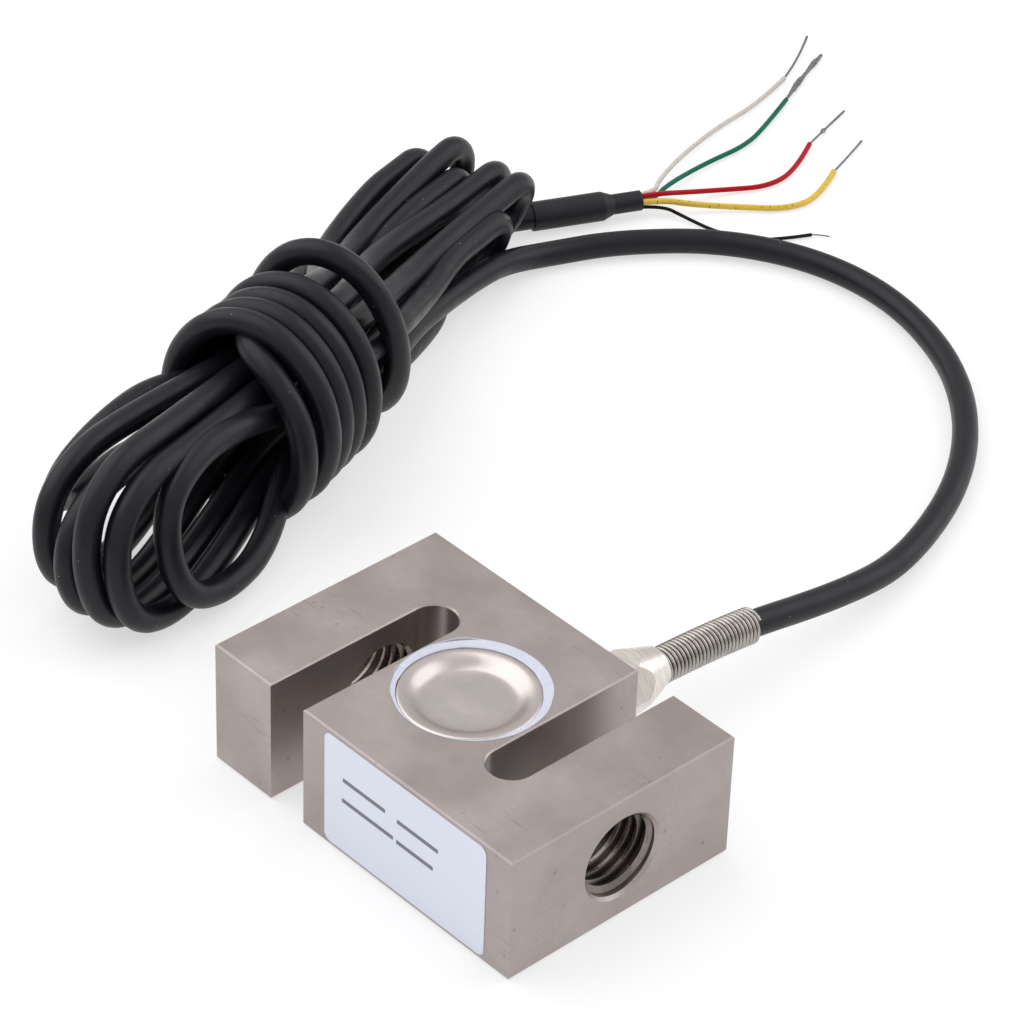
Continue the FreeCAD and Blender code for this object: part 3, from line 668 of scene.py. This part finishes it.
def core_start(turn):
    """A core's first two points, inside the sleeve and just outside its mouth."""
    way = bearing(SLEEVE_BEARING)
    side = bearing(SLEEVE_BEARING - 90)
    offset = round_way(side, Vector((0, 0, 1)), turn) * CORE_CIRCLE_RADIUS
    return [SLEEVE_MOUTH - way * JACKET_END + offset, SLEEVE_MOUTH + way * CORE_FREE + offset]


def strand_routes(points, radius, filaments, turns, swellings):
    """Filaments twisted round the strand's own line, parted a little where it swells."""
    line = line_of(points, STRAND_RESOLUTION)
    length = sum((b - a).length for a, b in zip(line, line[1:]))
    routes = []
    for filament in range(filaments):
        looseness = random.uniform(*LOOSENESS)
        route = []
        places = places_along(line, 0.0, length * STRAND_REACH, STRAND_STEPS)
        for step, (place, side, up) in enumerate(places):
            share = step / STRAND_STEPS
            wider = sum(extra * math.exp(-((share - middle) / width) ** 2)
                        for middle, width, extra in swellings)
            spread = radius * FILAMENT_CIRCLE * (1 + wider * looseness)
            angle = 360 * (filament / filaments + turns * share)
            place = place + round_way(side, up, angle) * spread
            place.z = max(place.z, radius * FILAMENT_LOW)
            route.append(place)
        routes.append(route)
    return routes


def vectors(points):
    return [Vector(point) for point in points]


random.seed(STRAND_SEED)
for colour_name, lead in WIRES.items():
    bare = STRANDS[colour_name]
    wire_radius, wire_length = lead["radius"], lead["length"]
    wire = link(nurbs_cord("lead_" + colour_name, core_start(lead["turn"]) + vectors(lead["route"]),
                           wire_radius, resolution=12, sides=5), "wire_" + colour_name)
    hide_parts("wire_" + colour_name)
    routes = strand_routes(vectors(lead["route"][-1:] + bare["route"]), bare["radius"],
                           bare["filaments"], bare["turns"], bare["swellings"])
    strand = link(curve_object("bare_" + colour_name, "POLY", routes,
                               bare["radius"] * FILAMENT_RADIUS, sides=2), "tinned_wire")
    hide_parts("strand_" + colour_name)


# ---- thread ridges in the two bores ------------------------------------------------------------
THREAD_FROM = 23.2          # distances from the block's middle
THREAD_TO = 37.5
CREST_RADIUS = 6.92
ROOT_RADIUS = THREAD_RADIUS + 0.02      # sunk a little into the bore's wall
RIDGE_BASE = 1.75
RIDGE_TOP = 0.5
RIDGE_STEPS = 48            # in one turn
RIDGE_FADE = 0.3 * RIDGE_STEPS          # steps over which it fades out, at each end
RIDGE_CORNERS = 4


def thread_ridge(name, first, last):
    """Right-handed ridge on a bore's wall, fading out at both of its ends."""
    first, last = first + RIDGE_BASE / 2, last - RIDGE_BASE / 2
    count = int((last - first) / THREAD_PITCH * RIDGE_STEPS)
    vertices, faces = [], []
    for step in range(count + 1):
        centre = first + THREAD_PITCH * step / RIDGE_STEPS
        fade = min(1.0, step / RIDGE_FADE, (count - step) / RIDGE_FADE)
        crest = THREAD_RADIUS - (THREAD_RADIUS - CREST_RADIUS) * fade
        for shift, radius in ((-RIDGE_BASE / 2, ROOT_RADIUS), (-RIDGE_TOP / 2, crest),
                              (RIDGE_TOP / 2, crest), (RIDGE_BASE / 2, ROOT_RADIUS)):
            out = round_way(Vector((0, 1, 0)), Vector((0, 0, 1)), 360 * step / RIDGE_STEPS)
            vertices.append(Vector((centre + shift, 0, MID_Z)) + out * radius)
    for step in range(count):
        faces += quads(step, step + 1, RIDGE_CORNERS, closed=True, flipped=True)
    faces.append(tuple(reversed(range(RIDGE_CORNERS))))
    faces.append(tuple(RIDGE_CORNERS * count + corner for corner in range(RIDGE_CORNERS)))
    return mesh_piece(name, vertices, faces, smooth=False)


link(thread_ridge("front_thread_ridge", THREAD_FROM, THREAD_TO), "thread_steel")
link(thread_ridge("rear_thread_ridge", -THREAD_TO, -THREAD_FROM), "thread_steel")

# ---- sealant round the upper cup ---------------------------------------------------------------
SEALANT_STEPS = 180
# smears over the seat's edge: middle and width in degrees, and how much further, or less far
# where it is negative, the sealant reaches
SMEARS = [(146.0, 12.0, 0.6), (-155.0, 4.0, 0.4), (-60.0, 55.0, -0.25)]
# share of the way from the cup to the outer edge, and height above the block's face
BEAD_TOP = [(-0.08, -0.46), (0.0, -0.38), (0.2, -0.26), (0.5, -0.2), (0.8, -0.1), (0.95, 0.03),
            (1.0, 0.008)]
BEAD_UNDERSIDE = [(0.9, -0.9), (0.0, -0.9)]
EDGE_OVERLAP = 0.02         # past the seat's edge
CUP_GAP = 0.05              # between the cup's wall and the bead
SEAT_GAP = 0.05             # between the seat's wall and the bead's underside
UNEVEN = 0.1                # of the bead's two edges
LUMP = 0.04                 # of its top
EDGE_RATE = 3.0             # how fast the unevenness changes round the outer edge
RIM_RATE = 4.0              # round the inner one
LUMP_RATE = 9.0             # and over the top


def outer_edge(degrees):
    """How far the sealant reaches from the seat's centre, with its smears and unevenness."""
    reach = SEAT_RADIUS + EDGE_OVERLAP + UNEVEN * noise.noise(bearing(degrees) * EDGE_RATE)
    for middle, width, extra in SMEARS:
        off = (degrees - middle + 180) % 360 - 180
        reach += extra * math.exp(-(off / width) ** 2)
    return reach


def sealant_bead():
    """Bead from the cup's rim to just over the edge of its seat, thin where it ends."""
    vertices, faces = [], []
    for step in range(SEALANT_STEPS):
        degrees = 360 * step / SEALANT_STEPS
        way = bearing(degrees)
        reach = CUP_RADIUS + CUP_GAP + UNEVEN * noise.noise(way * RIM_RATE)
        inner = Vector((0, CUP_OFF_CENTRE, 0)) + way * reach
        outer = way * outer_edge(degrees)
        for share, height in BEAD_TOP:
            lump = noise.noise(way * LUMP_RATE + Vector((share, 0, 0)))
            lift = LUMP * lump if share < 1 else 0.0
            place = inner.lerp(outer, share)
            vertices.append(place + Vector((0, 0, BLOCK_THICKNESS + height + lift)))
        for share, height in BEAD_UNDERSIDE:
            place = inner.lerp(way * (SEAT_RADIUS - SEAT_GAP), share)
            vertices.append(place + Vector((0, 0, BLOCK_THICKNESS + height)))
        faces += quads(step, (step + 1) % SEALANT_STEPS, len(BEAD_TOP) + len(BEAD_UNDERSIDE),
                       closed=True)
    return mesh_piece("sealant_bead", vertices, faces)


bead = link(sealant_bead(), "white_sealant")
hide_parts("top_sealant_ring")

# ---- upper cup, with the soft bends of pressed sheet -------------------------------------------
# radius and depth below the block's face, from the middle to the foot of the skirt and back up
CUP_PROFILE = [
    (0.0, 1.96), (3.0, 1.97), (3.4, 2.0), (6.6, 2.0), (7.8, 1.97), (8.6, 1.84), (9.2, 1.58),
    (9.7, 1.25), (10.2, 0.93), (10.8, 0.67), (11.4, 0.52), (12.0, 0.45), (12.4, 0.48),
    (12.64, 0.62), (12.7, 0.85), (12.7, 2.6), (12.2, 2.6), (12.2, 1.1),
]
CUP_STEPS = 160
CUP_DENT = 0.05
DENT_RATE = 1.6             # how fast the dents change round the cup
DENT_RATE_OUT = 0.25        # and from the middle out
DENT_FULL = 6.0             # radius from which the dents have their full depth
DENT_END = 12.1             # radius beyond which the rim is true


def cup_cover():
    """Turned surface of the cup, very slightly out of true as pressed sheet is."""
    vertices, faces = [], []
    for step in range(CUP_STEPS):
        way = bearing(360 * step / CUP_STEPS)
        for radius, depth in CUP_PROFILE:
            dent = 0.0
            if radius <= DENT_END:
                shape = noise.noise(way * DENT_RATE + Vector((0, 0, radius * DENT_RATE_OUT)))
                dent = CUP_DENT * shape * min(1, radius / DENT_FULL)
            centre = Vector((0, CUP_OFF_CENTRE, BLOCK_THICKNESS - depth + dent))
            vertices.append(centre + way * radius)
        faces += quads(step, (step + 1) % CUP_STEPS, len(CUP_PROFILE), closed=False, flipped=True)
    return mesh_piece("cup_cover", vertices, faces)


cover = link(cup_cover(), "bright_cup")
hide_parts("top_cover_cup")

# ---- floor, light and world --------------------------------------------------------------------
# places and sizes of the stage are in metres
FLOOR_HALF = 3.0
FLOOR_HEIGHT = -0.0002
FLOOR_WHITE = 0.6           # share of the floor that is white whatever shadow lies on it
LIGHT_AIM = Vector((-0.05, 0.06, 0.0))
WORLD_HORIZON = 0.62        # strengths
WORLD_OVERHEAD = 0.88
WORLD_TOP = 0.9             # height of a direction from which it has its overhead strength


def make_floor():
    """Paper: white to the camera and in reflections, with the object's shadow kept."""
    mesh = bpy.data.meshes.new("floor")
    corners = [(-1, -1), (1, -1), (1, 1), (-1, 1)]
    mesh.from_pydata([(x * FLOOR_HALF, y * FLOOR_HALF, FLOOR_HEIGHT) for x, y in corners], [],
                     [(0, 1, 2, 3)])
    floor = bpy.data.objects.new("floor", mesh)
    finish = Finish("paper", roughness=0.9, specular=0.0)
    finish.shader.inputs["Base Color"].default_value = SHADES["paper"]
    rays = finish.node("ShaderNodeLightPath").outputs
    seen = finish.maths("MAXIMUM", rays["Is Camera Ray"],
                        finish.maths("MAXIMUM", rays["Is Glossy Ray"], rays["Is Transmission Ray"]))
    white = finish.node("ShaderNodeEmission", [("Color", WHITE), ("Strength", 1.0)])
    mixed = finish.node("ShaderNodeMixShader", [(0, finish.times(seen, FLOOR_WHITE)),
                                                (1, finish.shader.outputs[0]),
                                                (2, white.outputs[0])])
    finish.tree.links.new(mixed.outputs[0],
                          finish.tree.nodes["Material Output"].inputs["Surface"])
    mesh.materials.append(finish.material)
    bpy.context.collection.objects.link(floor)


def make_light(name, place, size, power):
    """Rectangular soft box that faces the hank and the block."""
    data = bpy.data.lights.new(name, "AREA")
    data.shape = "RECTANGLE"
    data.size, data.size_y = size
    data.energy = power
    light = bpy.data.objects.new(name, data)
    light.rotation_euler = (LIGHT_AIM - Vector(place)).to_track_quat("-Z", "Y").to_euler()
    light.location = place
    bpy.context.collection.objects.link(light)


def make_world():
    """Pale studio, brighter overhead than at the horizon."""
    world = bpy.data.worlds.new("studio")
    world.use_nodes = True
    tree = world.node_tree
    parts = tree.nodes.new("ShaderNodeSeparateXYZ")
    tree.links.new(tree.nodes.new("ShaderNodeTexCoord").outputs["Generated"], parts.inputs[0])
    shade = tree.nodes.new("ShaderNodeMapRange")
    tree.links.new(parts.outputs["Z"], shade.inputs["Value"])
    shade.inputs["From Min"].default_value = 0.0
    shade.inputs["From Max"].default_value = WORLD_TOP
    shade.inputs["To Min"].default_value = WORLD_HORIZON
    shade.inputs["To Max"].default_value = WORLD_OVERHEAD
    background = tree.nodes["Background"]
    background.inputs["Color"].default_value = WHITE
    tree.links.new(shade.outputs[0], background.inputs["Strength"])
    bpy.context.scene.world = world


make_floor()
make_light("key_box", place=(-0.75, -0.25, 0.95), size=(1.3, 1.5), power=8.0)
make_light("side_box", place=(0.35, 0.95, 0.7), size=(1.0, 1.4), power=5.0)
make_world()
bpy.context.scene.view_settings.view_transform = "Standard"
